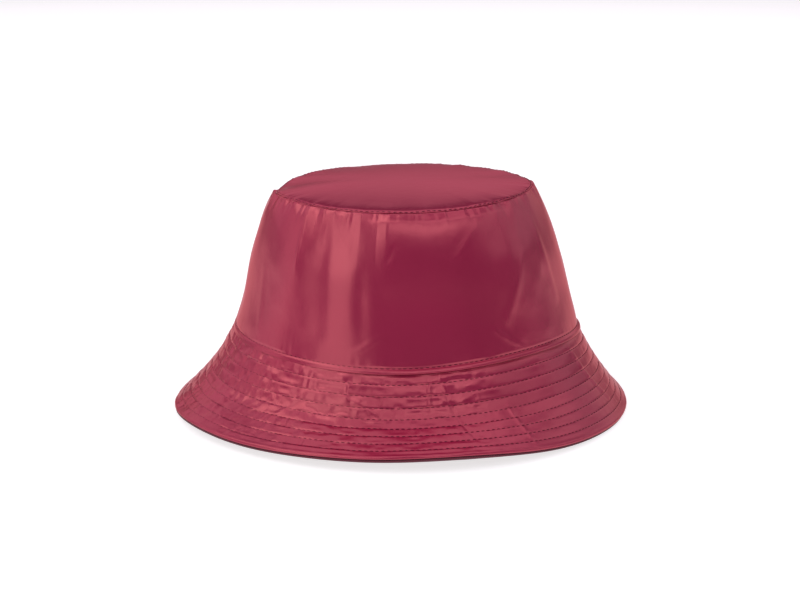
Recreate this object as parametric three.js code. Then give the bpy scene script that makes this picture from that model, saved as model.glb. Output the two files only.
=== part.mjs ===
// A bucket hat that is worn either side out: a woven outer shell over a twill reverse shell,
// joined along the edge of the brim. It stands on that edge, as it does on a table.
// Millimetres, +Z up, front towards -Y. The origin is on the floor, in the middle of the outline.
import * as THREE from "three";

// Driving dimensions, in millimetres unless a name or a comment says otherwise.
const segments = 60;
const diagonalPull = 0.012; // the crown's ovals are drawn in by this share on their diagonals

const tip = {
  halfWidth: 73,
  halfDepth: 68.3,
  centreX: 1.3,
  height: 126.4,
  dome: 2.4,
  rightRise: 1.1, // the tip panel's right end is this much higher than its middle
  frontDrop: 2.1, // its front and back ends are this much lower
};

const base = {
  halfWidth: 98.5,
  halfDepth: 92.1,
  centreX: 2.9,
  height: 44.8,
  leftRise: 0.7,
  frontDrop: 2,
  diagonalRise: 1.3,
  diagonalSway: 1.9, // the right front and left back of the seam rise by this, the others drop
};

// The crown wall swells just under the tip and is nearly straight below. Shares of the spread.
const wallSwell = { whole: 0.093, upper: 0.035 };

const brim = {
  slant: 53.6,
  swayX: -2.8, // the edge lies this far to the left of the seam
  leftSettle: 0.1, // and its left side settles this much, until it stands as the right side does
  channels: 9,
  rowDrift: 0.032, // share of the slant: channels are wider at the seam than at the edge
  puff: 0.7,
  reversePuff: 0.5,
};

// Slope of the brim below level, in degrees, from the seam to the edge.
const sideSlope = { seam: 64.4, edge: 45.6 };
const frontSlope = { seam: 66, edge: 24.5, bendStart: 0.36, bendEnd: 0.63 };
const rightSteeper = { seam: -2.3, edge: 0.5 };
const leftFlare = { azimuth: 206, spread: 25.4, flatten: 14, start: 0.4, end: 0.73 };

// Cloth thicknesses and the clearance kept between neighbouring pieces.
const outerCloth = 1.2;
const reverseCloth = 1.1;
const reverseHem = 1.8;
const clearance = 0.3;
const seamGap = 0.15; // half of the clearance, along the surface, at each seam

// The crown wall ends in a turned welt that laps over the top of the brim.
const welt = { height: 5, rise: 1, proud: 1.25, lap: 1 };
const edgeRound = 0.35;
const reverseReach = 0.8; // the reverse cloth shows past the outer edge by this

// Broad soft swells (+) and hollows (-) of the crown wall: azimuth and spread in degrees,
// place and reach as shares of the wall from tip to base, push in millimetres.
const wallWaves = [
  { azimuth: 205, spread: 13, place: 0.45, reach: 0.35, push: -1.3 },
  { azimuth: 228, spread: 9, place: 0.4, reach: 0.4, push: 1.0 },
  { azimuth: 249, spread: 8, place: 0.55, reach: 0.45, push: 1.1 },
  { azimuth: 277, spread: 19, place: 0.6, reach: 0.4, push: -1.4 },
  { azimuth: 312, spread: 11, place: 0.45, reach: 0.4, push: 1.2 },
  { azimuth: 338, spread: 10, place: 0.6, reach: 0.3, push: -1.1 },
  { azimuth: 22, spread: 13, place: 0.5, reach: 0.4, push: 1.1 },
  { azimuth: 58, spread: 15, place: 0.6, reach: 0.35, push: -1.3 },
  { azimuth: 96, spread: 14, place: 0.45, reach: 0.4, push: 1.2 },
  { azimuth: 131, spread: 13, place: 0.55, reach: 0.4, push: -1.3 },
  { azimuth: 163, spread: 11, place: 0.5, reach: 0.4, push: 1.0 },
  { azimuth: 178, spread: 15, place: 0.1, reach: 0.14, push: 1.5 },
  { azimuth: 357, spread: 12, place: 0.8, reach: 0.25, push: 0.9 },
];

// Where the tip seam stands above (+) or sags below (-) its oval: its left end sags most.
const tipSeamWaves = [
  { azimuth: 173, spread: 19, rise: -3.4 },
  { azimuth: 82, spread: 40, rise: 1.1 },
  { azimuth: 20, spread: 15, rise: -0.8 },
];

// Gentle rise and fall of the brim's edge at the front and back: waves in a full turn, phase in
// degrees, lift. Its sides stand on the floor.
const edgeWaves = [
  { turns: 5, phase: 40, lift: 0.6 },
  { turns: 8, phase: 205, lift: 0.45 },
];

// Stations along the meridian. 0 to 1 is the tip panel from its centre to its seam,
// 1 to 2 the crown wall from there to the base seam, and 2 to 3 the brim from there to its edge.
const tipSeam = 1;
const baseSeam = 2;
const brimEdge = 3;
const wallSlant = 86;
const profileSteps = 60;
const normalReach = 1.6;
const normalTurn = THREE.MathUtils.degToRad(1);

const outerTipStations = [0.3, 0.55, 0.76, 0.91];
const innerTipStations = [0.5, 0.86];
const outerWallStations = [1.04, 1.12, 1.25, 1.4, 1.55, 1.7, 1.84];
const innerWallStations = [1.1, 1.35, 1.62, 1.86];
const innerBrimStations = [2.12, 2.24, 2.36, 2.5, 2.72];

const radians = THREE.MathUtils.degToRad;
const lerp = THREE.MathUtils.lerp;
const smooth = (value, from, to) => THREE.MathUtils.smoothstep(value, from, to);

// Shortest angle between two azimuths in degrees.
function turnBetween(a, b) {
  const turn = Math.abs(a - b) % 360;
  return Math.min(turn, 360 - turn);
}

function bump(distance, spread) {
  return Math.exp(-((distance / spread) ** 2));
}

// 0 at the front, back and sides of the hat, and 1 halfway between them.
function diagonalShare(azimuth) {
  return (1 - Math.cos(4 * azimuth)) / 2;
}

function ovalPoint(azimuth, oval, pull = diagonalPull) {
  const point = new THREE.Vector2(oval.halfWidth * Math.cos(azimuth), oval.halfDepth * Math.sin(azimuth));
  return point.multiplyScalar(1 - pull * diagonalShare(azimuth));
}

// The way the cloth faces in plan, square to the base oval.
function planNormal(azimuth) {
  return new THREE.Vector2(Math.cos(azimuth) / base.halfWidth, Math.sin(azimuth) / base.halfDepth).normalize();
}

function tipEdgeHeight(azimuth) {
  const degrees = THREE.MathUtils.radToDeg(azimuth);
  const rises = tipSeamWaves.map((wave) => wave.rise * bump(turnBetween(degrees, wave.azimuth), wave.spread));
  const level = tip.height + tip.rightRise * Math.cos(azimuth) - tip.frontDrop * Math.sin(azimuth) ** 2;
  return level + rises.reduce((sum, rise) => sum + rise, 0);
}

// How far the base seam stands above the height of its sides.
function seamSway(azimuth) {
  const ends = -base.leftRise * Math.cos(azimuth) - base.frontDrop * Math.sin(azimuth) ** 2;
  const diagonals = base.diagonalRise * diagonalShare(azimuth) - base.diagonalSway * Math.sin(2 * azimuth);
  return ends + diagonals;
}

function tipPoint(azimuth, share) {
  const edge = ovalPoint(azimuth, tip).multiplyScalar(share);
  const flat = lerp(tip.height, tipEdgeHeight(azimuth), share);
  const dome = tip.dome * (1 - share ** 2);
  return new THREE.Vector3(tip.centreX + edge.x, edge.y, flat + dome);
}

function wallPush(azimuth, share) {
  const degrees = THREE.MathUtils.radToDeg(azimuth);
  const pushes = wallWaves.map(
    (wave) =>
      wave.push * bump(turnBetween(degrees, wave.azimuth), wave.spread) * bump(share - wave.place, wave.reach),
  );
  const held = Math.sin(Math.PI * share) ** 0.5; // the seams at both ends hold the cloth in place
  return held * pushes.reduce((sum, push) => sum + push, 0);
}

function wallPoint(azimuth, share) {
  const swell = wallSwell.whole * Math.sin(Math.PI * share) + wallSwell.upper * Math.sin(2 * Math.PI * share);
  const spread = share + swell;
  const between = ovalPoint(azimuth, tip).lerp(ovalPoint(azimuth, base), spread);
  const plan = between.addScaledVector(planNormal(azimuth), wallPush(azimuth, share));
  const centreX = lerp(tip.centreX, base.centreX, share);
  const height = lerp(tipEdgeHeight(azimuth), base.height + seamSway(azimuth), share);
  return new THREE.Vector3(centreX + plan.x, plan.y, height);
}

// Slope of the brim below level, in radians, at a share of the slant.
function brimSlope(azimuth, share) {
  const side = lerp(sideSlope.seam, sideSlope.edge, share);
  const bend = smooth(share, frontSlope.bendStart, frontSlope.bendEnd);
  const front = lerp(frontSlope.seam, frontSlope.edge, bend);
  const frontShare = Math.sin(azimuth) ** 2;
  const lean = lerp(rightSteeper.seam, rightSteeper.edge, share) * Math.cos(azimuth);
  const turn = turnBetween(THREE.MathUtils.radToDeg(azimuth), leftFlare.azimuth);
  const flare = leftFlare.flatten * bump(turn, leftFlare.spread) * smooth(share, leftFlare.start, leftFlare.end);
  return radians(lerp(side, front, frontShare) + lean - flare);
}

function edgeLift(azimuth) {
  const lifts = edgeWaves.map((wave) => wave.lift * Math.cos(wave.turns * azimuth + radians(wave.phase)));
  return Math.sin(azimuth) ** 2 * lifts.reduce((sum, lift) => sum + lift, 0);
}

// How far out and down the brim has gone at a share of its slant, by the midpoint rule.
function brimRun(azimuth, share) {
  const steps = Math.max(1, Math.round(profileSteps * share));
  const step = share / steps;
  let out = 0;
  let down = 0;
  for (let i = 0; i < steps; i += 1) {
    const slope = brimSlope(azimuth, (i + 0.5) * step);
    out += Math.cos(slope) * step * brim.slant;
    down += Math.sin(slope) * step * brim.slant;
  }
  return { out, down };
}

function brimPoint(azimuth, share) {
  const { out, down } = brimRun(azimuth, share);
  const seam = ovalPoint(azimuth, base, diagonalPull * (1 - share));
  const plan = seam.addScaledVector(planNormal(azimuth), out);
  const settle = brim.leftSettle * (0.5 - 0.5 * Math.cos(azimuth));
  const sway = seamSway(azimuth) * (1 - share) + (edgeLift(azimuth) - settle) * share ** 2;
  return new THREE.Vector3(base.centreX + plan.x + brim.swayX * share, plan.y, base.height + sway - down);
}

// The outer surface of the hat at a station.
function surfacePoint(azimuth, station) {
  if (station <= tipSeam) return tipPoint(azimuth, station);
  if (station <= baseSeam) return wallPoint(azimuth, station - tipSeam);
  return brimPoint(azimuth, station - baseSeam);
}

// Length of cloth that one unit of station stands for.
function stationLength(station) {
  if (station <= tipSeam) return tip.halfWidth;
  if (station <= baseSeam) return wallSlant;
  return brim.slant;
}

// Pieces that meet at a seam both end on its mitre, so the seam's own station serves just beside it.
function mitreStation(station) {
  const seam = Math.round(station);
  return Math.abs(station - seam) * stationLength(station) < 2 * seamGap ? seam : station;
}

// The outward normal, averaged over a short reach so that layers turn the corners together.
function surfaceNormal(azimuth, station) {
  const middle = mitreStation(station);
  const reach = normalReach / stationLength(middle);
  const along = surfacePoint(azimuth, middle + reach).sub(surfacePoint(azimuth, middle - reach));
  const round = surfacePoint(azimuth + normalTurn, middle).sub(surfacePoint(azimuth - normalTurn, middle));
  return along.cross(round).normalize();
}

function layerPoint(azimuth, station, proud) {
  return surfacePoint(azimuth, station).addScaledVector(surfaceNormal(azimuth, station), proud);
}

// A ring of points round the hat at one station, standing proud of the outer surface.
function ring(station, proud) {
  const points = [];
  for (let i = 0; i < segments; i += 1) points.push(layerPoint((2 * Math.PI * i) / segments, station, proud));
  return points;
}

function rings(stations, proud) {
  return stations.map((station) => ring(station, proud));
}

function reversed(list) {
  return [...list].reverse();
}

// Cloth that reaches the floor lies flat on it.
function onFloor(points) {
  points.forEach((point) => point.setZ(Math.max(point.z, 0)));
  return points;
}

// Two triangles for each step round, between a ring and the next one. The diagonal runs the same way
// on both faces of a layer, so that neighbouring layers stay parallel.
function joinRings(index, from, to, facesIn) {
  for (let i = 0; i < segments; i += 1) {
    const next = (i + 1) % segments;
    if (facesIn) {
      index.push(from + i, to + i, from + next);
      index.push(to + i, to + next, from + next);
    } else {
      index.push(from + i, to + i, to + next);
      index.push(from + i, to + next, from + next);
    }
  }
}

function geometryOf(points, index) {
  const geometry = new THREE.BufferGeometry().setFromPoints(points);
  geometry.setIndex(index);
  geometry.computeVertexNormals();
  return geometry;
}

// A closed band: down its outside, round its lower edge, up its inside and back to the start.
function bandGeometry(outside, inside) {
  const loop = [...outside, ...reversed(inside)];
  const index = [];
  loop.forEach((_, i) => {
    const next = (i + 1) % loop.length;
    joinRings(index, i * segments, next * segments, i >= outside.length);
  });
  return geometryOf(loop.flat(), index);
}

// A closed panel: from its upper centre out to the edge, and back underneath to its lower centre.
function panelGeometry(upperCentre, outside, inside, lowerCentre) {
  const loop = [...outside, ...reversed(inside)];
  const points = [...loop.flat(), upperCentre, lowerCentre];
  const top = loop.length * segments;
  const last = (loop.length - 1) * segments;
  const index = [];
  for (let i = 0; i < segments; i += 1) {
    const next = (i + 1) % segments;
    index.push(top, i, next);
    index.push(top + 1, last + next, last + i);
  }
  for (let i = 0; i < loop.length - 1; i += 1) {
    joinRings(index, i * segments, (i + 1) * segments, i >= outside.length);
  }
  return geometryOf(points, index);
}

function namedMesh(name, geometry, material) {
  const mesh = new THREE.Mesh(geometry, material);
  mesh.name = name;
  return mesh;
}

function shinyWeave() {
  return new THREE.MeshStandardMaterial({ color: 0xa53a50, roughness: 0.38, metalness: 0 });
}

function twillWeave() {
  return new THREE.MeshStandardMaterial({ color: 0x7c1f35, roughness: 0.9, metalness: 0 });
}

// Where the layers lie, proud of the outer surface.
const outerInside = -outerCloth;
const reverseOutside = outerInside - clearance;
const reverseInside = reverseOutside - reverseCloth;
const reverseHemInside = reverseOutside - reverseHem;

// Stations just short of each seam and edge.
const tipEnd = tipSeam - seamGap / tip.halfWidth;
const wallStart = tipSeam + seamGap / wallSlant;
const wallEnd = baseSeam - seamGap / wallSlant;
const brimStart = baseSeam + seamGap / brim.slant;
const lapEnd = baseSeam + welt.lap / brim.slant;
const weltStart = baseSeam - welt.height / wallSlant;
const weltFull = baseSeam - (welt.height - welt.rise) / wallSlant;
const reverseEdge = brimEdge + reverseReach / brim.slant;

// Stitch rows between the channels of the brim, from the seam to the edge.
function rowStation(row) {
  const share = row / brim.channels;
  return baseSeam + share + brim.rowDrift * Math.sin(Math.PI * share);
}

// One side of the quilted brim: level at each stitch row and puffed midway between rows.
function channelRings(proud, puff, firstStation, lastStation) {
  const sections = [ring(firstStation, proud)];
  for (let channel = 1; channel <= brim.channels; channel += 1) {
    const middle = (rowStation(channel - 1) + rowStation(channel)) / 2;
    sections.push(ring(middle, proud + puff));
    if (channel < brim.channels) sections.push(ring(rowStation(channel), proud));
  }
  sections.push(ring(lastStation, proud));
  return sections;
}

function crownTip() {
  const outside = rings([...outerTipStations, tipEnd], 0);
  const inside = rings([...innerTipStations, tipEnd], outerInside);
  const upper = surfacePoint(0, 0);
  const lower = upper.clone().setZ(upper.z + outerInside);
  return namedMesh("crown_tip", panelGeometry(upper, outside, inside, lower), shinyWeave());
}

function crownSide() {
  const wall = rings([wallStart, ...outerWallStations, weltStart], 0);
  const weltFace = rings([weltFull, lapEnd], welt.proud);
  const lap = rings([wallEnd, lapEnd], clearance);
  const inside = rings([wallStart, ...innerWallStations, wallEnd], outerInside);
  return namedMesh("crown_side", bandGeometry([...wall, ...weltFace], [...inside, ...lap]), shinyWeave());
}

function brimOuter() {
  const outside = channelRings(0, brim.puff, brimStart, brimEdge);
  const turnedEdge = ring(brimEdge + edgeRound / brim.slant, outerInside / 2);
  const inside = rings([brimStart, ...innerBrimStations, brimEdge], outerInside);
  return namedMesh("brim", bandGeometry([...outside, turnedEdge], inside), shinyWeave());
}

function liningTip() {
  const outside = rings([...innerTipStations, tipEnd], reverseOutside);
  const inside = rings([...innerTipStations, tipEnd], reverseInside);
  const centre = surfacePoint(0, 0);
  const upper = centre.clone().setZ(centre.z + reverseOutside);
  const lower = centre.clone().setZ(centre.z + reverseInside);
  return namedMesh("lining_tip", panelGeometry(upper, outside, inside, lower), twillWeave());
}

function liningSide() {
  const stations = [wallStart, ...innerWallStations, wallEnd];
  const outside = rings(stations, reverseOutside);
  const inside = rings(stations, reverseInside);
  return namedMesh("lining_side", bandGeometry(outside, inside), twillWeave());
}

function liningBrim() {
  const outside = rings([brimStart, ...innerBrimStations, brimEdge, reverseEdge], reverseOutside);
  const inside = channelRings(reverseInside, -brim.reversePuff, brimStart, reverseEdge);
  const hem = ring(reverseEdge, reverseHemInside);
  inside[inside.length - 1] = hem;
  const geometry = bandGeometry(outside.map(onFloor), inside.map(onFloor));
  return namedMesh("lining_brim", geometry, twillWeave());
}

const hat = new THREE.Group();
hat.add(crownTip(), crownSide(), brimOuter(), liningTip(), liningSide(), liningBrim());

export default hat;
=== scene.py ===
import math

import bpy
import numpy as np
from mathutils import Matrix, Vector


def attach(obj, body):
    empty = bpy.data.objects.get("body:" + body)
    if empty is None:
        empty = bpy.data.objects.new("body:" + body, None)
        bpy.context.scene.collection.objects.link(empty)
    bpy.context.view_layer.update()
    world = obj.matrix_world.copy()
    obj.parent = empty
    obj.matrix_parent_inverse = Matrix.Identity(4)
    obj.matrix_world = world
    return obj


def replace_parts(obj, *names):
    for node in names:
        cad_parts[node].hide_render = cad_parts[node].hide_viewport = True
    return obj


# The looks of a bucket hat: a shiny woven outer shell, a matte twill reverse shell and the stitching
# that joins them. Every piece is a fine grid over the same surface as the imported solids.
# Metres, +Z up, front towards -Y. Azimuths and slopes in tables are in degrees.
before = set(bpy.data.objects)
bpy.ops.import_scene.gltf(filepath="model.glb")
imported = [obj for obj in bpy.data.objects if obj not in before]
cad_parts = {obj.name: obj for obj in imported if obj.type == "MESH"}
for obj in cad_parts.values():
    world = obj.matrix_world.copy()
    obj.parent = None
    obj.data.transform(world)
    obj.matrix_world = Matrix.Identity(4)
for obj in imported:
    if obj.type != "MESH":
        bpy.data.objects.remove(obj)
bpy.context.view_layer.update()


def named_rows(columns, table):
    """A table whose rows are read by the names of its columns."""
    return [dict(zip(columns, row)) for row in table]


# Driving sizes of the shell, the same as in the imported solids.
DIAGONAL_PULL = 0.012
TIP = {
    "half_width": 0.073, "half_depth": 0.0683, "centre_x": 0.0013, "height": 0.1264,
    "dome": 0.0024, "right_rise": 0.0011, "front_drop": 0.0021,
}
BASE = {
    "half_width": 0.0985, "half_depth": 0.0921, "centre_x": 0.0029, "height": 0.0448,
    "left_rise": 0.0007, "front_drop": 0.002, "diagonal_rise": 0.0013, "diagonal_sway": 0.0019,
}
WALL_SWELL = {"whole": 0.093, "upper": 0.035}
BRIM = {"slant": 0.0536, "sway_x": -0.0028, "left_settle": 0.0001, "channels": 9, "row_drift": 0.032}
SIDE_SLOPE = {"seam": 64.4, "edge": 45.6}
FRONT_SLOPE = {"seam": 66, "edge": 24.5, "bend_start": 0.36, "bend_end": 0.63}
RIGHT_STEEPER = {"seam": -2.3, "edge": 0.5}
LEFT_FLARE = {"azimuth": 206, "spread": 25.4, "flatten": 14, "start": 0.4, "end": 0.73}
WALL_WAVES = named_rows(("azimuth", "spread", "place", "reach", "push"), [
    (205, 13, 0.45, 0.35, -0.0013),
    (228, 9, 0.4, 0.4, 0.0010),
    (249, 8, 0.55, 0.45, 0.0011),
    (277, 19, 0.6, 0.4, -0.0014),
    (312, 11, 0.45, 0.4, 0.0012),
    (338, 10, 0.6, 0.3, -0.0011),
    (22, 13, 0.5, 0.4, 0.0011),
    (58, 15, 0.6, 0.35, -0.0013),
    (96, 14, 0.45, 0.4, 0.0012),
    (131, 13, 0.55, 0.4, -0.0013),
    (163, 11, 0.5, 0.4, 0.0010),
    (178, 15, 0.1, 0.14, 0.0015),
    (357, 12, 0.8, 0.25, 0.0009),
])
TIP_SEAM_WAVES = named_rows(
    ("azimuth", "spread", "rise"), [(173, 19, -0.0034), (82, 40, 0.0011), (20, 15, -0.0008)],
)
EDGE_WAVES = named_rows(("turns", "phase", "lift"), [(5, 40, 0.0006), (8, 205, 0.00045)])

# Stations along the meridian: 0 to 1 the tip, 1 to 2 the crown wall, 2 to 3 the brim.
TIP_SEAM, BASE_SEAM, BRIM_EDGE = 1, 2, 3
WALL_SLANT = 0.086
# Steps that add up the brim's profile, and how far along and round the hat a normal looks.
PROFILE_STEPS = 30
NORMAL_REACH, NORMAL_TURN = 0.0016, 1
COLUMNS = 1080

# Where the layers lie, proud of the outer surface.
OUTER_INSIDE = -0.0012
REVERSE_OUTSIDE = -0.0015
REVERSE_INSIDE = -0.0026
REVERSE_REACH = 0.0008
EDGE_ROUND = 0.0004
SEAM_GAP = 0.00012
# How far the corner at the tip seam is rounded off, by azimuth, and how far from the seam.
SHOULDER_DROP = [
    (0, 0.0006), (90, 0.0004), (150, 0.0004), (176, 0.0008), (212, 0.0009), (236, 0.0012), (300, 0.0012),
]
SHOULDER_REACH = 0.0034


def lerp(a, b, share):
    return a + (b - a) * share


def smooth(value, start, end):
    """0 up to start, 1 from end on, and an S curve between them."""
    share = np.clip((value - start) / (end - start), 0, 1)
    return share * share * (3 - 2 * share)


def turn_between(a, b):
    """Degrees between two azimuths, the short way round."""
    turn = np.abs(a - b) % 360
    return np.minimum(turn, 360 - turn)


def bump(distance, spread):
    """1 at no distance, dying out over the spread."""
    return np.exp(-((distance / spread) ** 2))


def along_table(azimuth, table):
    """A value read from a short table of azimuth and value, straight between its rows."""
    places, values = zip(*table)
    return np.interp(np.degrees(azimuth) % 360, places, values, period=360)


def diagonal_share(azimuth):
    """1 on the diagonals and 0 at the front, back, left and right."""
    return (1 - np.cos(4 * azimuth)) / 2


def oval(azimuth, size, pull=DIAGONAL_PULL):
    """A point of an oval that is drawn in a little on its diagonals."""
    scale = 1 - pull * diagonal_share(azimuth)
    return size["half_width"] * np.cos(azimuth) * scale, size["half_depth"] * np.sin(azimuth) * scale


def plan_normal(azimuth):
    """The way out of the crown's oval, seen from above."""
    x, y = np.cos(azimuth) / BASE["half_width"], np.sin(azimuth) / BASE["half_depth"]
    length = np.hypot(x, y)
    return x / length, y / length


def tip_edge_height(azimuth):
    height = TIP["height"] + TIP["right_rise"] * np.cos(azimuth) - TIP["front_drop"] * np.sin(azimuth) ** 2
    for wave in TIP_SEAM_WAVES:
        turn = turn_between(np.degrees(azimuth), wave["azimuth"])
        height = height + wave["rise"] * bump(turn, wave["spread"])
    return height


def seam_sway(azimuth):
    ends = -BASE["left_rise"] * np.cos(azimuth) - BASE["front_drop"] * np.sin(azimuth) ** 2
    rise = BASE["diagonal_rise"] * diagonal_share(azimuth)
    return ends + rise - BASE["diagonal_sway"] * np.sin(2 * azimuth)


def tip_point(azimuth, share):
    """A point of the tip panel, which stays flat in its middle and falls to the seam near its edge."""
    x, y = oval(azimuth, TIP)
    flat = lerp(TIP["height"], tip_edge_height(azimuth), share**3)
    return np.stack([TIP["centre_x"] + x * share, y * share, flat + TIP["dome"] * (1 - share**2)], -1)


def wall_push(azimuth, share):
    """How far the main dents of the wall stand out."""
    degrees = np.degrees(azimuth)
    total = 0
    for wave in WALL_WAVES:
        across = bump(turn_between(degrees, wave["azimuth"]), wave["spread"])
        total = total + wave["push"] * across * bump(share - wave["place"], wave["reach"])
    return total * np.sqrt(np.clip(np.sin(np.pi * share), 0, 1))


def wall_point(azimuth, share):
    """A point of the crown's wall, at a share of the way from the tip seam to the base seam."""
    swell = WALL_SWELL["whole"] * np.sin(np.pi * share) + WALL_SWELL["upper"] * np.sin(2 * np.pi * share)
    spread = share + swell
    tip_x, tip_y = oval(azimuth, TIP)
    base_x, base_y = oval(azimuth, BASE)
    out_x, out_y = plan_normal(azimuth)
    push = wall_push(azimuth, share)
    x = lerp(TIP["centre_x"], BASE["centre_x"], share) + lerp(tip_x, base_x, spread) + out_x * push
    y = lerp(tip_y, base_y, spread) + out_y * push
    return np.stack([x, y, lerp(tip_edge_height(azimuth), BASE["height"] + seam_sway(azimuth), share)], -1)


def brim_slope(azimuth, share):
    """Slope of the brim below level, in radians, at a share of its slant."""
    side = lerp(SIDE_SLOPE["seam"], SIDE_SLOPE["edge"], share)
    bend = smooth(share, FRONT_SLOPE["bend_start"], FRONT_SLOPE["bend_end"])
    front = lerp(FRONT_SLOPE["seam"], FRONT_SLOPE["edge"], bend)
    lean = lerp(RIGHT_STEEPER["seam"], RIGHT_STEEPER["edge"], share) * np.cos(azimuth)
    turn = turn_between(np.degrees(azimuth), LEFT_FLARE["azimuth"])
    started = smooth(share, LEFT_FLARE["start"], LEFT_FLARE["end"])
    flare = LEFT_FLARE["flatten"] * bump(turn, LEFT_FLARE["spread"]) * started
    return np.radians(lerp(side, front, np.sin(azimuth) ** 2) + lean - flare)


def edge_lift(azimuth):
    total = 0
    for wave in EDGE_WAVES:
        total = total + wave["lift"] * np.cos(wave["turns"] * azimuth + math.radians(wave["phase"]))
    return np.sin(azimuth) ** 2 * total


def brim_point(azimuth, share):
    out, down = 0, 0
    step = share / PROFILE_STEPS * BRIM["slant"]
    for i in range(PROFILE_STEPS):
        slope = brim_slope(azimuth, share * (i + 0.5) / PROFILE_STEPS)
        out = out + np.cos(slope) * step
        down = down + np.sin(slope) * step
    seam_x, seam_y = oval(azimuth, BASE, DIAGONAL_PULL * (1 - share))
    out_x, out_y = plan_normal(azimuth)
    settle = BRIM["left_settle"] * (0.5 - 0.5 * np.cos(azimuth))
    sway = seam_sway(azimuth) * (1 - share) + (edge_lift(azimuth) - settle) * share**2
    x = BASE["centre_x"] + seam_x + out_x * out + BRIM["sway_x"] * share
    return np.stack([x, seam_y + out_y * out, BASE["height"] + sway - down], -1)


def surface(azimuth, station):
    """Points of the smooth outer surface."""
    tip = tip_point(azimuth, np.clip(station, 0, 1))
    wall = wall_point(azimuth, np.clip(station - TIP_SEAM, 0, 1))
    brim = brim_point(azimuth, np.clip(station - BASE_SEAM, 0, None))
    on_tip = (station <= TIP_SEAM)[..., None]
    on_wall = (station <= BASE_SEAM)[..., None]
    return np.where(on_tip, tip, np.where(on_wall, wall, brim))


def station_length(station):
    """Length of cloth that one unit of station stands for."""
    below_tip = np.where(station <= BASE_SEAM, WALL_SLANT, BRIM["slant"])
    return np.where(station <= TIP_SEAM, TIP["half_width"], below_tip)


def inside_tip_seam(distance):
    """Station on the tip panel, by distance from its seam."""
    return TIP_SEAM - distance / TIP["half_width"]


def below_tip_seam(distance):
    return TIP_SEAM + distance / WALL_SLANT


def above_base_seam(distance):
    return BASE_SEAM - distance / WALL_SLANT


def surface_normal(azimuth, station):
    reach = NORMAL_REACH / station_length(station)
    turn = math.radians(NORMAL_TURN)
    lower = surface(azimuth, station + reach)
    upper = surface(azimuth, np.maximum(station - reach, 0))
    sideways = surface(azimuth + turn, station) - surface(azimuth - turn, station)
    normal = np.cross(lower - upper, sideways)
    return normal / np.linalg.norm(normal, axis=-1, keepdims=True)


def unit_grid(stations, columns=COLUMNS):
    """Azimuths and stations of a grid: a row for each station and a column for each step round."""
    azimuth = np.linspace(0, 2 * math.pi, columns, endpoint=False)
    return np.meshgrid(azimuth, np.asarray(stations, float))


def skin(azimuth, station, proud):
    """Points that stand proud of the surface, where the corner at the tip seam is rounded off."""
    from_corner = np.abs(station - TIP_SEAM) * station_length(station)
    height = proud - along_table(azimuth, SHOULDER_DROP) * np.exp(-from_corner / SHOULDER_REACH)
    return surface(azimuth, station) + surface_normal(azimuth, station) * height[..., None]


def layer(stations, proud, columns=COLUMNS):
    """Rows of points proud of the surface by a number, a column or a function of the grid."""
    azimuth, station = unit_grid(stations, columns)
    return skin(azimuth, station, proud(azimuth, station) if callable(proud) else proud)


def row_station(row):
    """Station of a stitch row of the brim. Row 0 is the seam and the last one the edge."""
    share = np.asarray(row, float) / BRIM["channels"]
    return BASE_SEAM + share + BRIM["row_drift"] * np.sin(np.pi * share)


# Random relief that closes on itself round the hat. A field of dents holds its cells round and up.
# A jittered bowl: where it lies in its cell, how far it leans and is lifted, and the spare rows of cells.
BOWL = {"from": 0.25, "to": 0.75, "lean": 0.3, "lift": 0.1, "spare_rows": 4}


def break_points(rng, low, high):
    """Random break azimuths round the hat, between low and high degrees apart."""
    steps = rng.uniform(low, high, int(2 * 360 / (low + high)))
    places = np.cumsum(steps)
    return places / places[-1] * 360


def facets(azimuth, rng, low, high):
    """Straight facets between random breaks: a strip of cloth held in short folds. From -1 to 1."""
    places = break_points(rng, low, high)
    heights = rng.uniform(-1, 1, len(places))
    return np.interp(np.degrees(azimuth) % 360, places, heights, period=360)


def facet_sum(azimuth, rng, table):
    """Facets added up, by rows of strength and of least and most degrees between breaks."""
    return sum(strength * facets(azimuth, rng, low, high) for strength, low, high in table)


def cell_place(azimuth, share, field):
    """Place in a field of cells, round the hat and up the piece. share runs from 0 to 1."""
    return np.degrees(azimuth) % 360 / 360 * field["round_cells"], np.clip(share, 0, 1) * field["up_cells"]


def soft_dents(azimuth, share, rng, field):
    """Smooth dents, up to the field's height in and out, on a lattice of its cells."""
    round_cells = field["round_cells"]
    lattice = rng.uniform(-1, 1, (field["up_cells"] + 2, round_cells))
    u, v = cell_place(azimuth, share, field)
    i, j = np.floor(u).astype(int), np.floor(v).astype(int)
    s, t = smooth(u - i, 0, 1), smooth(v - j, 0, 1)
    i, k = i % round_cells, (i + 1) % round_cells
    low = lerp(lattice[j, i], lattice[j, k], s)
    high = lerp(lattice[j + 1, i], lattice[j + 1, k], s)
    return field["height"] * lerp(low, high, t)


def crumple(azimuth, share, rng, field):
    """Dents that meet in sharp creases: the lowest of a jittered field of leaning bowls."""
    round_cells = field["round_cells"]
    cells = (field["up_cells"] + BOWL["spare_rows"], round_cells)
    place = rng.uniform(BOWL["from"], BOWL["to"], (2, *cells))
    lean = rng.uniform(-BOWL["lean"], BOWL["lean"], (2, *cells))
    lift = rng.uniform(-BOWL["lift"], BOWL["lift"], cells)
    u, v = cell_place(azimuth, share, field)
    v = v + 1
    i, j = np.floor(u).astype(int), np.floor(v).astype(int)
    lowest = np.full(np.shape(u), np.inf)
    for di in (-1, 0, 1):
        for dj in (-1, 0, 1):
            column, row = (i + di) % round_cells, j + dj
            du = u - (i + di) - place[0, row, column]
            dv = v - (j + dj) - place[1, row, column]
            bowl = du * du + dv * dv + lean[0, row, column] * du + lean[1, row, column] * dv
            lowest = np.minimum(lowest, bowl + lift[row, column])
    return lowest


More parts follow.
